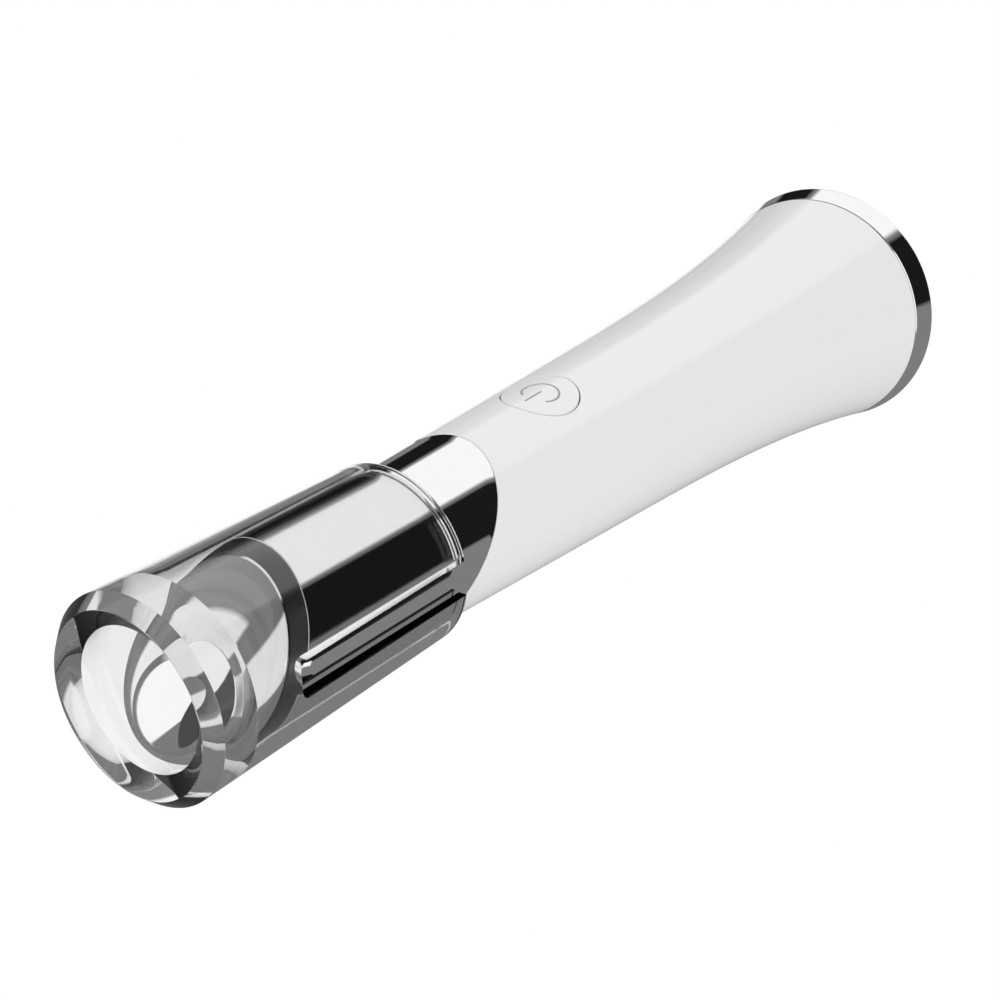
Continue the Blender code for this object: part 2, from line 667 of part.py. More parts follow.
def make_inner_frame(finishes):
    """The frame that holds the cell: two discs that fit the shell, a cradle and two legs."""
    low_radius = body_radius(LOW_DISC_TOP) - SHELL_WALL - SEAT_GAP
    high_radius = body_radius(HIGH_DISC_TOP) - SHELL_WALL - SEAT_GAP
    grey = finishes["grey"]
    frame = drum("inner_frame", low_radius, LOW_DISC_FOOT, LOW_DISC_TOP, grey, count=MEDIUM)
    bore = CELL_RADIUS + SEAT_GAP
    centre = (0.0, CELL_OFFSET)
    low, high = LOW_DISC_TOP - DISC_THICKNESS / 2, HIGH_DISC_FOOT + DISC_THICKNESS / 2
    cradle = drum("cradle", bore + CRADLE_WALL, low, high, grey, centre=centre, count=MEDIUM)
    combine(frame, cradle, "UNION")
    high_disc = drum("high_disc", high_radius, HIGH_DISC_FOOT, HIGH_DISC_TOP, grey, count=MEDIUM)
    combine(frame, high_disc, "UNION")
    for side in (-1, 1):
        foot = np.array([side * LEG_OFFSET, LEG_BACK_SHARE * LEG_OFFSET, CHARGE_BOARD_TOP + SEAT_GAP])
        head = np.array([foot[0], foot[1], LOW_DISC_FOOT + DISC_THICKNESS / 2])
        half = np.array([LEG_WIDTH / 2, LEG_WIDTH / 2, 0.0])
        combine(frame, box("leg", foot - half, head + half, grey), "UNION")
    cell_space = drum("cell_space", bore, LOW_DISC_TOP, HIGH_DISC_FOOT, grey, centre=centre, count=MEDIUM)
    combine(frame, cell_space, "DIFFERENCE")
    wide = body_radius(0.0)
    mouth = box("mouth", (-wide, -wide, LOW_DISC_TOP),
                (wide, CELL_OFFSET - CRADLE_MOUTH_SHARE * CELL_RADIUS, HIGH_DISC_FOOT), grey)
    combine(frame, mouth, "DIFFERENCE")
    board_space = box("board_space", (-wide, -wide, LOW_DISC_TOP),
                      (wide, BOARD_BACK + SEAT_GAP, TOTAL_HEIGHT), grey)
    combine(frame, board_space, "DIFFERENCE")
    middle = BOARD_FRONT - WINDOW_DEPTH / 2
    window = box("window", (-WINDOW_WIDTH / 2, middle - WINDOW_DEPTH / 2, LOW_DISC_FOOT - CUT_OVERRUN),
                 (WINDOW_WIDTH / 2, middle + WINDOW_DEPTH / 2, LOW_DISC_TOP + CUT_OVERRUN), grey)
    combine(frame, window, "DIFFERENCE")
    return frame


def make_battery(finishes):
    """The round lithium cell and the thin contact plates at its two ends."""
    centre = (0.0, CELL_OFFSET)
    drum("battery_cell", CELL_RADIUS, CELL_FOOT, CELL_TOP, finishes["cell"], CELL_EDGE, centre, MEDIUM)
    contact_radius = CELL_RADIUS - CELL_EDGE
    for name, foot in (("contact_low", LOW_DISC_TOP + SEAT_GAP), ("contact_high", CELL_TOP + SEAT_GAP)):
        drum(name, contact_radius, foot, foot + CONTACT_THICKNESS, finishes["steel"], centre=centre)


def make_main_board(finishes):
    """The long board behind the button, and the control chip on it."""
    half = MAIN_BOARD_WIDTH / 2
    foot = LOW_DISC_TOP + SEAT_GAP
    box("main_board", (-half, BOARD_FRONT, foot), (half, BOARD_BACK, MAIN_BOARD_TOP), finishes["board"])
    front = BOARD_FRONT - SEAT_GAP - CHIP_HEIGHT
    box("control_chip", (-CHIP_WIDTH / 2, front, CHIP_PLACE - CHIP_LENGTH / 2),
        (CHIP_WIDTH / 2, BOARD_FRONT - SEAT_GAP, CHIP_PLACE + CHIP_LENGTH / 2), finishes["dark"])


def make_power_button(finishes):
    """The oval button, flush with the handle, with the stem that pushes the switch."""
    button = curved_plate("power_button", 0.0, 0.0, BUTTON_PLATE, finishes["white"])
    root = -body_radius(BUTTON_HEIGHT) + BUTTON_PLATE / 2
    combine(button, lengthwise_drum("stem", STEM_RADIUS, root, STEM_END, finishes["white"]), "UNION")
    return button


def make_button_gasket(finishes):
    """The soft gasket against the shell's inner wall, under the button."""
    top = SHELL_WALL + GASKET_DROP
    gasket = curved_plate("button_gasket", GASKET_MARGIN, top, top + GASKET_THICKNESS, finishes["rubber"])
    reach = body_radius(0.0)
    hole = lengthwise_drum("hole", STEM_RADIUS + GASKET_HOLE_GAP, -reach, 0.0, finishes["rubber"])
    combine(gasket, hole, "DIFFERENCE")
    return gasket


def make_switch(finishes):
    """The push switch on the board and the plunger that the button's stem presses."""
    half = SWITCH_WIDTH / 2
    box("push_switch", (-half, SWITCH_FRONT, BUTTON_HEIGHT - half),
        (half, BOARD_FRONT - SEAT_GAP, BUTTON_HEIGHT + half), finishes["steel"])
    lengthwise_drum("switch_plunger", PLUNGER_RADIUS, PLUNGER_FRONT, PLUNGER_FOOT, finishes["dark"])


def make_motor(finishes):
    """The vibration motor in its soft boot, with its shaft and off-centre weight."""
    boot_foot = LEDGE_HEIGHT + SEAT_GAP
    bore = MOTOR_RADIUS + SEAT_GAP
    outside = SLEEVE_BORE - SEAT_GAP
    stations = [(bore, boot_foot), (outside, boot_foot), (outside, boot_foot + BOOT_LENGTH),
                (bore, boot_foot + BOOT_LENGTH)]
    stack("motor_boot", [ring(r, z, MEDIUM) for r, z in stations], finishes["rubber"], closed=True)
    motor_top = MOTOR_FOOT + MOTOR_LENGTH
    drum("motor_can", MOTOR_RADIUS, MOTOR_FOOT, motor_top, finishes["steel"], MOTOR_EDGE, count=MEDIUM)
    shaft_foot = motor_top + SEAT_GAP
    drum("motor_shaft", SHAFT_RADIUS, shaft_foot, shaft_foot + SHAFT_LENGTH, finishes["steel"])
    weight_foot = motor_top + WEIGHT_GAP
    turn = angles(MEDIUM)
    outside = np.where(turn <= np.pi, WEIGHT_RADIUS, WEIGHT_HUB)
    bore = SHAFT_RADIUS + WEIGHT_BORE_GAP
    top = weight_foot + WEIGHT_THICKNESS
    stations = ((bore, weight_foot), (outside, weight_foot), (outside, top), (bore, top))
    rows = [ring(r, z, MEDIUM) for r, z in stations]
    stack("eccentric_weight", rows, finishes["brass"], closed=True)


def lead(name, start, end, bow, finish):
    """A short insulated lead between two points: straight ends, bowed by a smooth curve."""
    share = np.linspace(0, 1, LEAD_STEPS)[:, None]
    start, end, bow = np.array(start), np.array(end), np.array(bow)
    points = start + (end - start) * (3 * share ** 2 - 2 * share ** 3) * np.array([1.0, 1.0, 0.0])
    points[:, 2] = start[2] + (end[2] - start[2]) * share[:, 0]
    points += bow * np.sin(np.pi * share) ** 2
    curve = bpy.data.curves.new(name, "CURVE")
    curve.dimensions = "3D"
    curve.bevel_depth = LEAD_RADIUS
    curve.bevel_resolution = 2
    curve.use_fill_caps = True
    spline = curve.splines.new("POLY")
    spline.points.add(LEAD_STEPS - 1)
    for point, place in zip(spline.points, points):
        point.co = (*place, 1.0)
    curve.materials.append(finish)
    thing = bpy.data.objects.new(name, curve)
    bpy.context.scene.collection.objects.link(thing)
    return thing


def make_leads(finishes):
    """Two leads from the main board to the motor, and two from the charging board to it."""
    board_middle = BOARD_FRONT + BOARD_THICKNESS / 2
    for name, side, colour in (("red", 1, "red"), ("black", -1, "black")):
        top_place = (side * LEAD_SPREAD, board_middle, MAIN_BOARD_TOP + SEAT_GAP)
        motor_place = (side * LEAD_SPREAD, 0.0, MOTOR_FOOT - SEAT_GAP)
        lead("motor_lead_" + name, top_place, motor_place, (side * LEAD_BOW, 0.0, 0.0), finishes[colour])
        front = BOARD_FRONT - LEAD_RADIUS - SEAT_GAP
        charge_place = (side * LEAD_SPREAD, front, CHARGE_BOARD_TOP + SEAT_GAP)
        board_place = (side * LEAD_SPREAD, front, LOW_DISC_TOP + FRAME_LEG)
        lead("charge_lead_" + name, charge_place, board_place, (0.0, -LEAD_BOW / 2, 0.0), finishes[colour])


def main():
    for thing in list(bpy.data.objects):
        bpy.data.objects.remove(thing)
    finishes = make_materials()
    make_handle_shell(finishes)
    make_neck_sleeve(finishes)
    make_head_ring(finishes)
    make_massage_head(finishes)
    make_heater(finishes)
    make_travel_cap(finishes)
    make_cap_key(finishes)
    make_base_ring(finishes)
    make_base_plate(finishes)
    make_charge_socket(finishes)
    make_charge_board(finishes)
    make_board_screw("board_screw_left", -1, finishes)
    make_board_screw("board_screw_right", 1, finishes)
    make_inner_frame(finishes)
    make_battery(finishes)
    make_main_board(finishes)
    make_power_button(finishes)
    make_button_gasket(finishes)
    make_switch(finishes)
    make_motor(finishes)
    make_leads(finishes)


main()
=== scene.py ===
"""Finishes, camera and light for the eye massager wand.

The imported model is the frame: metres, +Z up along the wand, its base on the floor and the
power button towards -Y. Fine surfaces stand for the outer pieces, in the same box as their
solids; the head, the dark ring under it, the key and the slot's turn have sizes read later
from the photograph. The inner pieces keep their solids and get their finishes here.
"""

import json
import math

import bmesh
import bpy
import numpy as np
from mathutils import Matrix, Vector


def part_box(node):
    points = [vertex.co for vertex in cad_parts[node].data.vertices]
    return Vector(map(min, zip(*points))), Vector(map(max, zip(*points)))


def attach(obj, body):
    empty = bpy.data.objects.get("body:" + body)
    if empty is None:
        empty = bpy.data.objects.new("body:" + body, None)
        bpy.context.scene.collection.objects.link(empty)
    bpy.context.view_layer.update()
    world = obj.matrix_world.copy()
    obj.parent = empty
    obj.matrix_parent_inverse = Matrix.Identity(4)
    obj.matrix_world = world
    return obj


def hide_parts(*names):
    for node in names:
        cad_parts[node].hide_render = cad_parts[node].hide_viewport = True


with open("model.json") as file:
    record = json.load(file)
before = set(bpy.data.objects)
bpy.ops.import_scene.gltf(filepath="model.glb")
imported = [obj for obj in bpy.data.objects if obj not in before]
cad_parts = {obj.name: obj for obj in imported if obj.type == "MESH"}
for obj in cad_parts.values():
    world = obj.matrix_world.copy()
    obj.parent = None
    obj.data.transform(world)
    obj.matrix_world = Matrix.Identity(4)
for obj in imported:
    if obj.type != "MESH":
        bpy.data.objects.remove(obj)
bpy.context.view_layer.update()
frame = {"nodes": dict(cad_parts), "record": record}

MM = 0.001

# Points nearer than this are one point, and edges over this angle stay sharp
MERGE_REACH = 0.0002 * MM
SHARP_ANGLE = math.radians(40.0)

# Places read from the frame
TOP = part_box("travel_cap")[1].z
CAP_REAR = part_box("travel_cap")[0].z
RING_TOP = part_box("base_ring")[1].z
STEM_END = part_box("power_button")[1].y

# Handle
BASE_RADIUS = 17.5 * MM
CONE_BASE_RADIUS = 13.7 * MM
NECK_RADIUS = 9.5 * MM
FLARE_HEIGHT = 60.0 * MM
FLARE_POWER = 2.6
SHELL_WALL = 1.5 * MM
SEAM = 0.05 * MM
EDGE = 0.1 * MM
EDGE_STEPS = 3
SUPPORT = 0.04 * MM

# Shares of the shell's height: how near its ends the last rows lie, and the stretch where rings
# round the button take the rows' place. The rings crowd towards the button by a power.
SHELL_END_SHARE = 0.0005
BUTTON_FIELD_SHARES = (0.715, 0.935)
BUTTON_FIELD_POWER = 1.6

# Slanted ends of the neck sleeve
REAR_CUT_HEIGHT = 98.2 * MM
REAR_CUT_SLOPE = 0.87
REAR_CUT_LIMIT = CAP_REAR - 0.3 * MM
REAR_CUT_ROUNDS = 8
FRONT_CUT_SHARE = 0.3359
FRONT_CUT_HEIGHT = TOP - FRONT_CUT_SHARE * (TOP - CAP_REAR)
FRONT_CUT_SLOPE = 0.6
SLEEVE_BORE = 8.0 * MM
SLEEVE_EDGE = 0.05 * MM
LEDGE_HEIGHT = CAP_REAR + 0.35 * MM
SPIGOT_RADIUS = 7.7 * MM
SPIGOT_BORE = 6.8 * MM
SPIGOT_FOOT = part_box("neck_sleeve")[0].z

# Head and the dark ring under it
RING_SEAT = FRONT_CUT_HEIGHT + SEAM
RING_HEIGHT = 1.9 * MM
RING_SHOULDER = NECK_RADIUS - SLEEVE_EDGE
RING_STEP = 0.3 * MM
RING_LIP = 0.1 * MM
RING_TUBE = 7.7 * MM
RING_BORE = 6.9 * MM
RING_DEPTH = 4.0 * MM
RING_RISE = 0.85 * MM
COLLAR_RADIUS = 6.6 * MM
COLLAR_BORE = 5.8 * MM
HEAD_SEAT = RING_SEAT + RING_HEIGHT + SEAM
HEAD_RADIUS = 8.86 * MM
HEAD_RISE = 6.95 * MM
HEAD_FULLNESS = 1.83
HEAD_WALL = 0.8 * MM

# Clear cap
CAP_BORE = 9.75 * MM
CAP_REAR_RADIUS = 10.87 * MM
CAP_FRONT_RADIUS = 11.5 * MM
CAP_MOUTH = 7.9 * MM
CAP_CREST_SHARE = 0.61
CAP_RIM_RISE = 1.6 * MM
CAP_TAPER_GAP = 0.6 * MM
CAP_EDGE = 0.15 * MM
CAP_RIM_EDGE = 0.07 * MM
SLOT_WIDTH = 4.1 * MM
SLOT_LENGTH = 27.0 * MM
SLOT_TURN = math.radians(7.3)
SLOT_CORNER_SHARE = 0.55
KEY_WIDTH = 1.7 * MM
KEY_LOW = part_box("cap_key")[0].z
KEY_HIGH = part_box("cap_key")[1].z
KEY_FOOT = 8.9 * MM
KEY_TOP = 10.05 * MM
KEY_RAMP = 1.1 * MM
KEY_EDGE = 0.1 * MM
KEY_SHARP_ANGLE = math.radians(20.0)

# Button and its sign
BUTTON_HEIGHT = 74.5 * MM
BUTTON_HALF_LENGTH = 5.0 * MM
BUTTON_HALF_WIDTH = 4.5 * MM
BUTTON_PLATE = 1.3 * MM
BUTTON_GAP = 0.14 * MM
BUTTON_EDGE = 0.12 * MM
BUTTON_RIM_SHARE = 0.995
STEM_RADIUS = 1.5 * MM
SIGN_RADIUS = 2.25 * MM
SIGN_WIDTH = 0.25 * MM
SIGN_OPENING = math.radians(42.0)
SIGN_TURN = math.radians(10.0)
SIGN_BAR_LOW = -0.2 * MM
SIGN_BAR_HIGH = 3.1 * MM
SIGN_PROUD = 0.012 * MM
SIGN_SUNK = 0.05 * MM

# Base
BASE_EDGE = 0.4 * MM
BASE_BORE = 15.4 * MM

# Points round a piece and round the button, and steps along the pieces and round their edges
ROUND = 256
BUTTON_ROUND = 128
FINE_EDGE_STEPS = 4
FOOT_EDGE_STEPS = 6
NECK_STEPS = 8
SLEEVE_STEPS = 24
HEAD_STEPS = 64
HEAD_INNER_STEPS = 24
CORNER_STEPS = 4
SLOT_CORNER_STEPS = 8
FOOT_STEPS = 24
BUTTON_STEPS = 24
BUTTON_INNER_STEPS = 8
SIGN_CIRCLE_STEPS = 96
SIGN_BAR_STEPS = 16
CAP_STEP = 1.6 * MM

# Colours of the outer pieces, and half the floor's width in metres
WHITE = (0.83, 0.83, 0.835)
CHROME = (0.93, 0.935, 0.94)
CLEAR = (0.913, 0.915, 0.915)
FLOOR_REACH = 3.0

# Camera, fitted to the round rims in the photograph
CAMERA_PLACE = Vector((-0.1139, -0.1058, 0.2456))
CAMERA_AZIMUTH = math.radians(-46.78)
CAMERA_ELEVATION = math.radians(46.42)
CAMERA_ROLL = math.radians(-120.33)
CAMERA_LENS = 68.65
CAMERA_NEAR = 10.0 * MM


def body_radius(height):
    """Outer radius of the handle: a slim cone, plus a flare that grows as a power of how far
    the height is below the flare's start."""
    cone = NECK_RADIUS + (CONE_BASE_RADIUS - NECK_RADIUS) * (1 - height / CAP_REAR)
    rise = np.clip(1 - height / FLARE_HEIGHT, 0, None)
    return cone + (BASE_RADIUS - CONE_BASE_RADIUS) * rise ** FLARE_POWER


def around(count=ROUND):
    """Evenly spaced angles round the wand, counted from +X."""
    return np.arange(count) * 2 * np.pi / count


def circle(radius, height, count=ROUND):
    """A circle about the axis: x = r cos a, y = r sin a, z = height."""
    turn = around(count)
    radius, height = np.broadcast_to(radius, count), np.broadcast_to(height, count)
    return np.stack([radius * np.cos(turn), radius * np.sin(turn), height], axis=-1)


def tilted(radius, height, slope):
    """A circle on a slanted plane: its height is the plane's height plus slope times y."""
    return circle(radius, height + slope * radius * np.sin(around()))


def arc(steps=EDGE_STEPS):
    """Sine and one minus cosine of evenly spaced angles from 0 to a quarter turn."""
    turn = np.linspace(0, np.pi / 2, steps + 1)
    return list(zip(np.sin(turn), 1 - np.cos(turn)))


def rear_cut(angle):
    """Height of the slanted seam at an angle: the plane height + slope y on the handle's own
    radius, held below the cap's rear edge, and worked out in rounds until it settles."""
    height = np.full(len(angle), REAR_CUT_HEIGHT)
    for _ in range(REAR_CUT_ROUNDS):
        plane = REAR_CUT_HEIGHT + REAR_CUT_SLOPE * body_radius(height) * np.sin(angle)
        height = np.minimum(plane, REAR_CUT_LIMIT)
    return height


def grid_faces(rows, columns, ring=True, start=0):
    """Quads of a grid of points: (i, j), (i, j+1), (i+1, j+1), (i+1, j); a ring closes on itself."""
    index = start + np.arange(rows * columns).reshape(rows, columns)
    right = np.roll(index, -1, axis=1)
    quads = np.stack([index[:-1], right[:-1], right[1:], index[1:]], axis=-1)
    return quads if ring else quads[:, :-1]


def new_mesh(name, points, faces):
    """A smooth mesh with its doubled points merged, its faces outwards and its edges over the
    sharp angle kept sharp."""
    mesh = bpy.data.meshes.new(name)
    mesh.from_pydata(points.tolist(), [], faces)
    thing = bpy.data.objects.new(name, mesh)
    bpy.context.scene.collection.objects.link(thing)
    tidy(thing)
    return thing


def tidy(thing, sharp=SHARP_ANGLE):
    """Merge doubled points, turn the faces outwards and set the shading."""
    form = bmesh.new()
    form.from_mesh(thing.data)
    bmesh.ops.remove_doubles(form, verts=form.verts, dist=MERGE_REACH)
    bmesh.ops.recalc_face_normals(form, faces=form.faces)
    form.to_mesh(thing.data)
    form.free()
    thing.data.shade_smooth()
    thing.data.set_sharp_from_angle(angle=sharp)


def skin(name, rows, closed=True):
    """A surface over rings of equal counts; a closed one joins its last ring to its first, and
    an open one starts and ends in rings drawn together to a point."""
    if closed:
        rows = rows + rows[:1]
    quads = grid_faces(len(rows), len(rows[0])).reshape(-1, 4)
    return new_mesh(name, np.concatenate(rows), quads.tolist())


def bake(thing):
    """Turn the result of the piece's modifiers into its mesh."""
    graph = bpy.context.evaluated_depsgraph_get()
    mesh = bpy.data.meshes.new_from_object(thing.evaluated_get(graph))
    thing.modifiers.clear()
    thing.data = mesh


def fit(thing, body, node, finish):
    """Give a piece its finish, the body it moves with and the solid it stands for."""
    thing.data.materials.clear()
    thing.data.materials.append(finish)
    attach(thing, body)
    if node:
        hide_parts(node)


def on_handle(angle, height, depth):
    """Points on the handle at angles and heights, sunk by a depth: r = body radius - depth."""
    radius = body_radius(height) - depth
    return np.stack([radius * np.cos(angle), radius * np.sin(angle), height + 0 * angle], axis=-1)


def on_oval(turn, share, margin, depth):
    """Points of the button's oval projected along Y onto the handle: x = share (half width +
    margin) cos t, z = height + share (half length + margin) sin t."""
    across = share * (BUTTON_HALF_WIDTH + margin) * np.cos(turn)
    height = BUTTON_HEIGHT + share * (BUTTON_HALF_LENGTH + margin) * np.sin(turn)
    radius = body_radius(height) - depth
    return np.stack([across, -np.sqrt(radius ** 2 - across ** 2), height], axis=-1)


def make_handle_shell(finish):
    """The white shell. Its wall is a grid of angles and of shares of the height up to the
    slanted seam; round the button the grid gives way to rings that turn from the grid's
    border into the button's oval."""
    columns, rows, side, levels = 192, 96, 22, 16
    angle = -np.pi / 2 + (np.arange(columns) - side) * 2 * np.pi / columns
    low = RING_TOP + SEAM + EDGE
    high = rear_cut(angle) - SEAM / 2 - EDGE
    middle = np.linspace(0, 1, rows + 1)[1:-1]
    share = np.concatenate([[0, SHELL_END_SHARE], middle, [1 - SHELL_END_SHARE, 1]])
    first, last = np.searchsorted(share, BUTTON_FIELD_SHARES)
    heights = low + share[:, None] * (high - low)
    angles = np.broadcast_to(angle, heights.shape)

    border = [(first, j) for j in range(2 * side)] + [(i, 2 * side) for i in range(first, last)]
    border += [(last, j) for j in range(2 * side, 0, -1)] + [(i, 0) for i in range(last, first, -1)]
    border_rows, border_columns = np.array(border).T
    edge_angle = angles[border_rows, border_columns]
    edge_height = heights[border_rows, border_columns]
    across = body_radius(edge_height) * np.sin(edge_angle + np.pi / 2)
    turn = np.arctan2((edge_height - BUTTON_HEIGHT) / BUTTON_HALF_LENGTH, across / BUTTON_HALF_WIDTH)

    points, faces = [], []

    def add(sheet, keep=None):
        """Collect a grid of points with its faces, or with only the faces to keep."""
        start = sum(len(done) for done in points)
        quads = grid_faces(sheet.shape[0], sheet.shape[1], start=start)
        quads = quads.reshape(-1, 4) if keep is None else quads[keep]
        points.append(sheet.reshape(-1, 3))
        faces.extend(quads.tolist())

    keep = np.ones((len(share) - 1, columns), bool)
    keep[first:last, :2 * side] = False
    for depth, margin in ((0.0, BUTTON_GAP + EDGE), (SHELL_WALL, BUTTON_GAP)):
        add(on_handle(angles, heights, depth), keep)
        oval = on_oval(turn, 1.0, margin, depth)
        oval_angle = np.arctan2(oval[:, 1], oval[:, 0])
        blend = (np.linspace(0, 1, levels + 1) ** BUTTON_FIELD_POWER)[:, None]
        add(on_handle(oval_angle + blend * (edge_angle - oval_angle),
                      oval[:, 2] + blend * (edge_height - oval[:, 2]), depth))
    lip = [on_oval(turn, 1.0, BUTTON_GAP + EDGE * (1 - sine), EDGE * fall) for sine, fall in arc()]
    lip += [on_oval(turn, 1.0, BUTTON_GAP, depth) for depth in (EDGE + SUPPORT, SHELL_WALL)]
    add(np.stack(lip))
    for limit, way in ((low, -1), (high, 1)):
        end = limit + way * EDGE
        rim = [on_handle(angle, limit + way * EDGE * sine, EDGE * fall) for sine, fall in arc()]
        rim += [on_handle(angle, end, EDGE + SUPPORT), on_handle(angle, end, SHELL_WALL)]
        rim.append(on_handle(angle, limit, SHELL_WALL))
        add(np.stack(rim))
    shell = new_mesh("handle_wall", np.concatenate(points), faces)
    fit(shell, "handle", "handle_shell", finish)


def make_neck_sleeve(finish):
    """The chrome neck: rings from the slanted seam, along the handle's own line to the cap, and
    straight on to the slanted front end, then back inside."""
    angle = around()
    seam = rear_cut(angle) + SEAM / 2
    rows = [circle(SPIGOT_RADIUS, SPIGOT_FOOT), circle(SPIGOT_RADIUS, seam)]
    radius = body_radius(seam)
    rows += [circle(radius - EDGE - SUPPORT, seam)]
    rows += [circle(radius - EDGE * (1 - sine), seam + EDGE * fall) for sine, fall in arc()]
    start = seam + EDGE + SUPPORT
    for share in np.linspace(0, 1, NECK_STEPS + 1):
        height = start + share * (CAP_REAR - start)
        rows.append(circle(body_radius(height), height))
    front = FRONT_CUT_HEIGHT - SLEEVE_EDGE - SUPPORT + FRONT_CUT_SLOPE * NECK_RADIUS * np.sin(angle)
    for share in np.linspace(0, 1, SLEEVE_STEPS + 1)[1:]:
        rows.append(circle(NECK_RADIUS, CAP_REAR + share * (front - CAP_REAR)))
    for sine, fall in arc(FINE_EDGE_STEPS):
        height = FRONT_CUT_HEIGHT - SLEEVE_EDGE * (1 - sine)
        rows.append(tilted(NECK_RADIUS - SLEEVE_EDGE * fall, height, FRONT_CUT_SLOPE))
    rows += [tilted(NECK_RADIUS - SLEEVE_EDGE - SUPPORT, FRONT_CUT_HEIGHT, FRONT_CUT_SLOPE),
             tilted(SLEEVE_BORE, FRONT_CUT_HEIGHT, FRONT_CUT_SLOPE),
             circle(SLEEVE_BORE, LEDGE_HEIGHT),
             circle(SPIGOT_BORE, LEDGE_HEIGHT),
             circle(SPIGOT_BORE, SPIGOT_FOOT)]
    fit(skin("neck_tube", rows), "handle", "neck_sleeve", finish)


def make_head_ring(finish):
    """The dark ring on the sleeve's slanted end, with a tube down into it and a collar up into
    the head: a profile of radius and height carried round on the slanted plane."""
    top = RING_SEAT + RING_HEIGHT
    profile = [
        (RING_BORE, RING_SEAT - RING_DEPTH), (RING_TUBE, RING_SEAT - RING_DEPTH), (RING_TUBE, RING_SEAT),
        (RING_SHOULDER, RING_SEAT), (RING_SHOULDER, RING_SEAT + RING_STEP), (HEAD_RADIUS + RING_LIP, top),
        (COLLAR_RADIUS, top), (COLLAR_RADIUS, top + RING_RISE), (COLLAR_BORE, top + RING_RISE),
        (COLLAR_BORE, RING_SEAT), (RING_BORE, RING_SEAT - RING_STEP),
    ]
    rows = [tilted(radius, height, FRONT_CUT_SLOPE) for radius, height in profile]
    fit(skin("dark_ring", rows), "handle", "head_ring", finish)


def dome(radius, rise, steps):
    """Rings of a full dome over the slanted seat: reach = radius cos(t)^(2/n) and height =
    rise sin(t)^(2/n), from the rim to the tip."""
    turn = np.linspace(0, np.pi / 2, steps + 1)
    reach = radius * np.clip(np.cos(turn), 0, 1) ** (2 / HEAD_FULLNESS)
    climb = rise * np.sin(turn) ** (2 / HEAD_FULLNESS)
    reach[-1] = 0
    return [tilted(r, HEAD_SEAT + z, FRONT_CUT_SLOPE) for r, z in zip(reach, climb)]


def make_massage_head(finish):
    """The chrome head: an outer and an inner dome joined at the rim."""
    outer = dome(HEAD_RADIUS, HEAD_RISE, HEAD_STEPS)
    inner = dome(HEAD_RADIUS - HEAD_WALL, HEAD_RISE - HEAD_WALL, HEAD_INNER_STEPS)
    head = skin("head_dome", outer[::-1] + inner, closed=False)
    fit(head, "handle", "massage_head", finish)


def slot_bar(name, width, low, high, stages):
    """A bar along Z towards the slot's side. Its outline is a rectangle whose two top corners
    are quarter circles; each stage is a distance from the axis, and how far the sides and the
    ends are drawn in there."""
    out = np.array([-math.cos(SLOT_TURN), -math.sin(SLOT_TURN), 0.0])
    across = np.array([-out[1], out[0], 0.0])
    corner = width / 2 * SLOT_CORNER_SHARE
    turn = np.linspace(0, np.pi / 2, SLOT_CORNER_STEPS + 1)
    side = np.concatenate([[width / 2], width / 2 - corner * (1 - np.cos(turn))])
    rise = np.concatenate([[low], high - corner * (1 - np.sin(turn))])
    side, rise = np.concatenate([side, -side[::-1]]), np.concatenate([rise, rise[::-1]])
    middle = (low + high) / 2
    rings = []
    for place, side_inset, end_inset in stages:
        drawn = side * (1 - 2 * side_inset / width)
        height = middle + (rise - middle) * (1 - 2 * end_inset / (high - low))
        rings.append(place * out + drawn[:, None] * across + height[:, None] * np.array([0, 0, 1]))
    count = len(side)
    faces = grid_faces(len(rings), count).reshape(-1, 4).tolist()
    faces += [list(range(count)), list(range((len(rings) - 1) * count, len(rings) * count))]
    return new_mesh(name, np.concatenate(rings), faces)


def rounded(profile, radius):
    """A closed profile whose corners become arcs: at a corner the arc leaves each side at the
    same distance, radius / tan(half the corner's angle), from the corner. From its middle the
    arc's points swing evenly from its first point to its last."""
    points = []
    count = len(profile)
    share = np.linspace(0, 1, CORNER_STEPS + 1)[:, None]
    for index, (corner, size) in enumerate(zip(profile, radius)):
        corner = np.array(corner)
        ways = [np.array(profile[index - 1]) - corner, np.array(profile[(index + 1) % count]) - corner]
        ways = [way / np.linalg.norm(way) for way in ways]
        half = math.acos(np.clip(np.dot(*ways), -1, 1)) / 2
        middle = corner + (ways[0] + ways[1]) / np.linalg.norm(ways[0] + ways[1]) * size / math.sin(half)
        first = corner + ways[0] * size / math.tan(half) - middle
        last = corner + ways[1] * size / math.tan(half) - middle
        sweep = math.pi - 2 * half
        swing = np.sin((1 - share) * sweep) * first + np.sin(share * sweep) * last
        points.extend(middle + swing / math.sin(sweep))
    return points


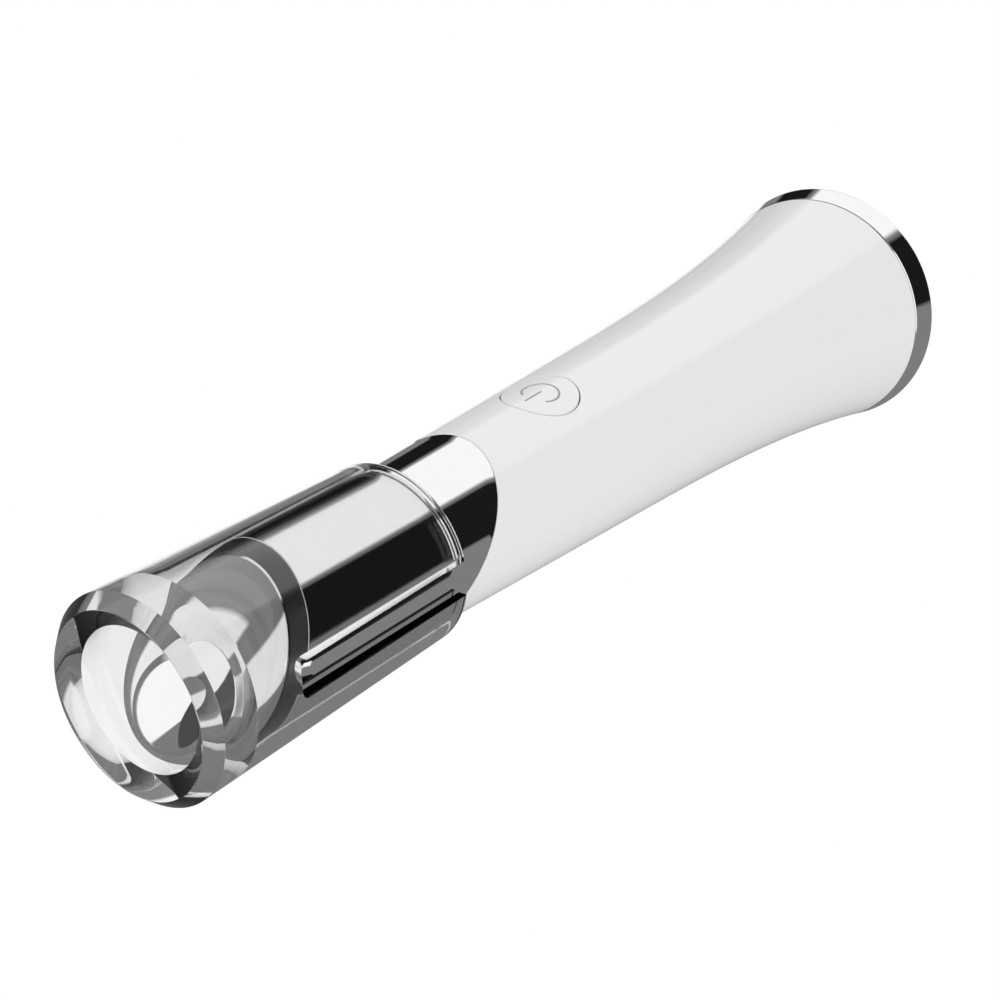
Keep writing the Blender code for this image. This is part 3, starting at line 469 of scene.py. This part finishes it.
def make_travel_cap(finish):
    """The clear cap: a profile of radius and height turned about the axis. Its rim rises to a
    crest round the mouth, the inside widens behind the mouth, and a slot is cut in from the
    rear edge."""
    base = TOP - CAP_RIM_RISE
    taper_end = FRONT_CUT_HEIGHT + FRONT_CUT_SLOPE * NECK_RADIUS + CAP_TAPER_GAP
    crest = CAP_MOUTH + CAP_CREST_SHARE * (CAP_FRONT_RADIUS - CAP_MOUTH)
    corners = ((CAP_BORE, CAP_REAR), (CAP_REAR_RADIUS, CAP_REAR), (CAP_FRONT_RADIUS, base), (crest, TOP),
               (CAP_MOUTH, base), (CAP_BORE, taper_end))
    radius = (CAP_RIM_EDGE, CAP_EDGE, CAP_RIM_EDGE, CAP_RIM_EDGE, CAP_RIM_EDGE, CAP_EDGE)
    profile = rounded(corners, radius)
    rows = []
    for start, end in zip(profile, profile[1:] + profile[:1]):
        steps = max(1, int(np.linalg.norm(end - start) / CAP_STEP))
        rows += [start + (end - start) * share for share in np.arange(steps) / steps]
    cap = skin("clear_cap", [circle(radius, height) for radius, height in rows])
    stages = ((CAP_MOUTH, 0.0, 0.0), (2 * CAP_FRONT_RADIUS, 0.0, 0.0))
    slot = slot_bar("slot", SLOT_WIDTH, CAP_REAR - CAP_RIM_RISE, CAP_REAR + SLOT_LENGTH, stages)
    cut = cap.modifiers.new("slot", "BOOLEAN")
    cut.object = slot
    bake(cap)
    bpy.data.objects.remove(slot)
    tidy(cap)
    fit(cap, "cap", "travel_cap", finish)


def make_cap_key(finish):
    """The low key on the neck that the cap's slot slides over, with ramped ends."""
    stages = ((KEY_FOOT, 0.0, 0.0), (NECK_RADIUS, 0.0, 0.0),
              (KEY_TOP - KEY_EDGE, 0.0, KEY_RAMP - KEY_EDGE), (KEY_TOP, KEY_EDGE, KEY_RAMP))
    key = slot_bar("neck_key", KEY_WIDTH, KEY_LOW, KEY_HIGH, stages)
    tidy(key, KEY_SHARP_ANGLE)
    fit(key, "handle", "cap_key", finish)


def make_base_ring(finish):
    """The chrome foot ring on the handle's own line, with its edges rounded."""
    high = RING_TOP
    rows = [circle(BASE_BORE, 0.0), circle(BASE_RADIUS - BASE_EDGE - SUPPORT, 0.0)]
    foot = body_radius(BASE_EDGE)
    for sine, fall in arc(FOOT_EDGE_STEPS):
        rows.append(circle(foot - BASE_EDGE * (1 - sine), BASE_EDGE * fall))
    for height in np.linspace(BASE_EDGE + SUPPORT, high - EDGE - SUPPORT, FOOT_STEPS):
        rows.append(circle(body_radius(height), height))
    rows += [circle(body_radius(high) - EDGE * fall, high - EDGE * (1 - sine)) for sine, fall in arc()]
    rows += [circle(body_radius(high) - EDGE - SUPPORT, high), circle(BASE_BORE, high)]
    fit(skin("foot_ring", rows), "handle", "base_ring", finish)


def make_button(finish):
    """The button: rings of its oval on the handle's surface, a rounded edge, and its stem."""
    turn = around(BUTTON_ROUND)
    shares = np.linspace(0, 1, BUTTON_STEPS + 1)[:-1]
    rows = [on_oval(turn, share, -BUTTON_EDGE, 0.0) for share in (*shares, BUTTON_RIM_SHARE)]
    for sine, fall in arc(FINE_EDGE_STEPS):
        rows.append(on_oval(turn, 1.0, -BUTTON_EDGE * (1 - sine), BUTTON_EDGE * fall))
    rows.append(on_oval(turn, 1.0, 0.0, BUTTON_EDGE + SUPPORT))
    for share in np.linspace(1, 0, BUTTON_INNER_STEPS + 1):
        rows.append(on_oval(turn, share, 0.0, BUTTON_PLATE))
    plate = skin("button_plate", rows, closed=False)
    root = -body_radius(BUTTON_HEIGHT) + BUTTON_PLATE - SUPPORT
    stem = []
    for radius, place in ((0.0, root), (STEM_RADIUS, root), (STEM_RADIUS, STEM_END), (0.0, STEM_END)):
        across, rise = radius * np.cos(turn), radius * np.sin(turn)
        stem.append(np.stack([across, place + 0 * turn, BUTTON_HEIGHT + rise], axis=-1))
    stem = skin("button_stem", stem, closed=False)
    form = bmesh.new()
    form.from_mesh(plate.data)
    form.from_mesh(stem.data)
    form.to_mesh(plate.data)
    form.free()
    plate.data.set_sharp_from_angle(angle=SHARP_ANGLE)
    bpy.data.objects.remove(stem)
    fit(plate, "button", "power_button", finish)


def sign_line(name, across, rise, finish):
    """A printed line: a thin strip of four rails along a path in the button's x and z, two on
    its skin and two just under it."""
    path = np.stack([across, rise], axis=-1)
    along = np.gradient(path, axis=0)
    along /= np.linalg.norm(along, axis=1)[:, None]
    normal = np.stack([-along[:, 1], along[:, 0]], axis=-1)
    rails = []
    for side, depth in ((-1, SIGN_SUNK), (-1, -SIGN_PROUD), (1, -SIGN_PROUD), (1, SIGN_SUNK)):
        x, z = (path + side * SIGN_WIDTH / 2 * normal).T
        radius = body_radius(BUTTON_HEIGHT + z) - depth
        rails.append(np.stack([x, -np.sqrt(radius ** 2 - x ** 2), BUTTON_HEIGHT + z], axis=-1))
    points = np.stack(rails, axis=1)
    count = len(path)
    faces = grid_faces(count, 4).reshape(-1, 4).tolist()
    faces += [[0, 1, 2, 3], [4 * count - 4, 4 * count - 3, 4 * count - 2, 4 * count - 1]]
    fit(new_mesh(name, points.reshape(-1, 3), faces), "button", None, finish)


def make_sign(finish):
    """The generic power sign: a broken circle and a bar through its opening."""
    middle = np.pi / 2 + SIGN_TURN
    turn = np.linspace(middle + SIGN_OPENING, middle + 2 * np.pi - SIGN_OPENING, SIGN_CIRCLE_STEPS + 1)
    sign_line("sign_circle", SIGN_RADIUS * np.cos(turn), SIGN_RADIUS * np.sin(turn), finish)
    rise = np.linspace(SIGN_BAR_LOW, SIGN_BAR_HIGH, SIGN_BAR_STEPS + 1)
    sign_line("sign_bar", 0 * rise, rise, finish)


class Socket:
    """A shader socket that takes part in sums, with numbers on either side."""

    def __init__(self, graph, socket):
        self.graph = graph
        self.socket = socket

    def maths(self, operation, first, second):
        return self.graph.node("ShaderNodeMath", {"operation": operation}, first, second)

    def __add__(self, other):
        return self.maths("ADD", self, other)

    def __radd__(self, other):
        return self.maths("ADD", other, self)

    def __sub__(self, other):
        return self.maths("SUBTRACT", self, other)

    def __rsub__(self, other):
        return self.maths("SUBTRACT", other, self)

    def __mul__(self, other):
        return self.maths("MULTIPLY", self, other)

    def __rmul__(self, other):
        return self.maths("MULTIPLY", other, self)

    def __truediv__(self, other):
        return self.maths("DIVIDE", self, other)

    def __rtruediv__(self, other):
        return self.maths("DIVIDE", other, self)

    def __gt__(self, other):
        return self.maths("GREATER_THAN", self, other)


class Graph:
    """The nodes of one finish, of the floor or of the world."""

    def __init__(self, owner):
        owner.use_nodes = True
        self.tree = owner.node_tree
        self.tree.nodes.clear()

    def node(self, kind, settings, *values, output=0, **named):
        """A node of a kind: its settings first, then values or links of its sockets, by their
        order or by name. None leaves a socket as it is."""
        made = self.tree.nodes.new(kind)
        for key, value in settings.items():
            setattr(made, key, value)
        entries = list(zip(made.inputs, values))
        entries += [(made.inputs[key.replace("_", " ")], value) for key, value in named.items()]
        for entry, value in entries:
            if isinstance(value, Socket):
                self.tree.links.new(value.socket, entry)
            elif value is not None:
                entry.default_value = value
        return Socket(self, made.outputs[output]) if made.outputs else None

    def noise(self, scale, detail=2.0):
        """Even noise between 0 and 1, at a number of waves to the metre, in object coordinates,
        which stay with the piece."""
        place = self.node("ShaderNodeTexCoord", {}, output="Object")
        return self.node("ShaderNodeTexNoise", {}, Vector=place, Scale=scale, Detail=detail)

    def mix(self, factor, first, second):
        """A colour between two colours."""
        return self.node("ShaderNodeMix", {"data_type": "RGBA"}, factor, None, None, None, None, None,
                         first, second, output=2)

    def within(self, angle, low, high):
        """1 between two angles in degrees and 0 outside, with a soft edge: the distance from
        their middle, the short way round, against half their difference."""
        turn = (angle - (low + high) / 2) / 360 + 0.5
        share = self.node("ShaderNodeMath", {"operation": "FRACT"}, turn) - 0.5
        away = self.node("ShaderNodeMath", {"operation": "ABSOLUTE"}, share) * 360
        near, far = (high - low - CARD_EDGE) / 2, (high - low + CARD_EDGE) / 2
        return 1 - self.node("ShaderNodeMapRange", {}, away, near, far, 0.0, 1.0)

    def once_mirrored(self):
        """1 for rays that have been mirrored at least once, else 0."""
        return self.node("ShaderNodeLightPath", {}, output="Glossy Depth") > 0.5


def grey(shade):
    """A colour with one shade in all its channels."""
    return (shade, shade, shade, 1.0)


def light_of(tone):
    """Linear light of a tone as a picture shows it: ((tone + 0.055) / 1.055) ^ 2.4."""
    return ((tone + 0.055) / 1.055) ** 2.4


def new_finish(name, colour, vary, grain, roughness, spread, **constants):
    """A finish whose colour and roughness wander a little over the surface: the colour darkens
    by at most vary, and the roughness, with a grain three times as fine, spreads round its
    middle value."""
    made = bpy.data.materials.new(name)
    graph = Graph(made)
    darker = tuple(channel * (1 - vary) for channel in colour)
    base = graph.mix(graph.noise(grain), (*darker, 1.0), (*colour, 1.0))
    wander = roughness + (graph.noise(3 * grain) - 0.5) * spread
    shader = graph.node("ShaderNodeBsdfPrincipled", {}, Base_Color=base, Roughness=wander, **constants)
    graph.node("ShaderNodeOutputMaterial", {}, shader)
    return made


# The finish of each slot in the record: colour, how far it darkens, grain in waves to the
# metre, roughness and its spread, and what else is set on the shader.
FINISHES = {
    "white_gloss": ((WHITE, 0.012, 90, 0.12, 0.03), {"Specular_IOR_Level": 0.4}),
    "chrome_plate": ((CHROME, 0.02, 150, 0.018, 0.012), {"Metallic": 1.0}),
    "clear_plastic": ((CLEAR, 0.004, 60, 0.0, 0.0), {"Transmission_Weight": 1.0, "IOR": 1.49}),
    "dark_plastic": (((0.03, 0.03, 0.032), 0.3, 300, 0.3, 0.1), {}),
    "heater_film": (((0.5, 0.24, 0.06), 0.3, 900, 0.4, 0.1), {}),
    "grey_plastic": (((0.33, 0.33, 0.34), 0.1, 600, 0.5, 0.1), {}),
    "silicone": (((0.12, 0.12, 0.125), 0.2, 500, 0.75, 0.1), {}),
    "circuit_board": (((0.01, 0.15, 0.06), 0.4, 700, 0.4, 0.1), {}),
    "bright_steel": (((0.6, 0.6, 0.62), 0.1, 400, 0.3, 0.1), {"Metallic": 1.0}),
    "brass_weight": (((0.75, 0.55, 0.22), 0.15, 400, 0.35, 0.1), {"Metallic": 1.0}),
    "cell_wrap": (((0.03, 0.1, 0.35), 0.2, 200, 0.35, 0.1), {}),
    "red_lead": (((0.5, 0.02, 0.02), 0.2, 500, 0.45, 0.1), {}),
    "black_lead": (((0.02, 0.02, 0.02), 0.2, 500, 0.45, 0.1), {}),
}


# The studio that polished pieces mirror: a grey room with soft-edged cards, each lit, shaded or
# black. A card has the azimuths, from +X through +Y, and the elevations between which it stands,
# in degrees, and its tone. One that reaches past a pole has no edge there.
ROOM = 0.5
LIT = 1.0
SHADED = 0.3
BLACK = 0.1
CARD_EDGE = 4.0
CARDS = (
    (245, 320, -100, -30, LIT),
    (180, 240, -100, -30, BLACK),
    (325, 355, -100, -30, BLACK),
    (15, 40, -100, -30, LIT),
    (165, 230, -30, 45, LIT),
    (260, 410, 20, 100, LIT),
    (90, 260, 50, 100, SHADED),
)


def make_world():
    """White for what the camera sees and for soft light on matt surfaces, and the studio for
    whatever has been mirrored at least once. Each card covers what is behind it."""
    world = bpy.data.worlds.new("studio")
    bpy.context.scene.world = world
    graph = Graph(world)
    way = graph.node("ShaderNodeTexCoord", {}, output="Generated")
    x, y, z = (graph.node("ShaderNodeSeparateXYZ", {}, way, output=axis) for axis in "XYZ")
    azimuth = graph.node("ShaderNodeMath", {"operation": "ARCTAN2"}, y, x) * (180 / math.pi)
    elevation = graph.node("ShaderNodeMath", {"operation": "ARCSINE"}, z) * (180 / math.pi)
    studio = grey(light_of(ROOM))
    for left, right, low, high, tone in CARDS:
        card = graph.within(azimuth, left, right) * graph.within(elevation, low, high)
        studio = graph.mix(card, studio, grey(light_of(tone)))
    seen = graph.mix(graph.once_mirrored(), grey(1.0), studio)
    light = graph.node("ShaderNodeBackground", {}, seen, 1.0)
    graph.node("ShaderNodeOutputWorld", {}, light)


def make_floor():
    """A plain white floor, lit from within so that it carries no shadow. What is mirrored
    looks through it at the studio."""
    corners = np.array([[-1, -1, 0], [1, -1, 0], [1, 1, 0], [-1, 1, 0]]) * FLOOR_REACH
    floor = new_mesh("floor", corners, [[0, 1, 2, 3]])
    finish = bpy.data.materials.new("white_floor")
    graph = Graph(finish)
    lit = graph.node("ShaderNodeEmission", {}, grey(1.0), 1.0)
    clear = graph.node("ShaderNodeBsdfTransparent", {})
    surface = graph.node("ShaderNodeMixShader", {}, graph.once_mirrored(), lit, clear)
    graph.node("ShaderNodeOutputMaterial", {}, surface)
    floor.data.materials.append(finish)


def make_camera():
    """The camera at the photograph's angle: turned to its azimuth and elevation, then rolled."""
    data = bpy.data.cameras.new("camera")
    data.lens = CAMERA_LENS
    data.clip_start = CAMERA_NEAR
    camera = bpy.data.objects.new("camera", data)
    bpy.context.scene.collection.objects.link(camera)
    turn = Matrix.Rotation(CAMERA_AZIMUTH, 4, "Z") @ Matrix.Rotation(math.pi / 2 - CAMERA_ELEVATION, 4, "X")
    camera.matrix_world = Matrix.Translation(CAMERA_PLACE) @ turn @ Matrix.Rotation(CAMERA_ROLL, 4, "Z")
    bpy.context.scene.camera = camera


def main():
    """Give every solid its finish, put the fine pieces in their places and set the scene."""
    finishes = {}
    for slot, (looks, constants) in FINISHES.items():
        finishes[slot] = new_finish(slot, *looks, **constants)
    for part in frame["record"]["subparts"]:
        node = frame["nodes"][part["node"]]
        node.data.materials.clear()
        node.data.materials.append(finishes[part["material_slot"]])
    make_handle_shell(finishes["white_gloss"])
    make_neck_sleeve(finishes["chrome_plate"])
    make_head_ring(finishes["dark_plastic"])
    make_massage_head(finishes["chrome_plate"])
    make_travel_cap(finishes["clear_plastic"])
    make_cap_key(finishes["chrome_plate"])
    make_base_ring(finishes["chrome_plate"])
    make_button(finishes["white_gloss"])
    make_sign(finishes["grey_plastic"])
    make_world()
    make_floor()
    make_camera()
    bpy.context.scene.view_settings.view_transform = "Standard"


main()
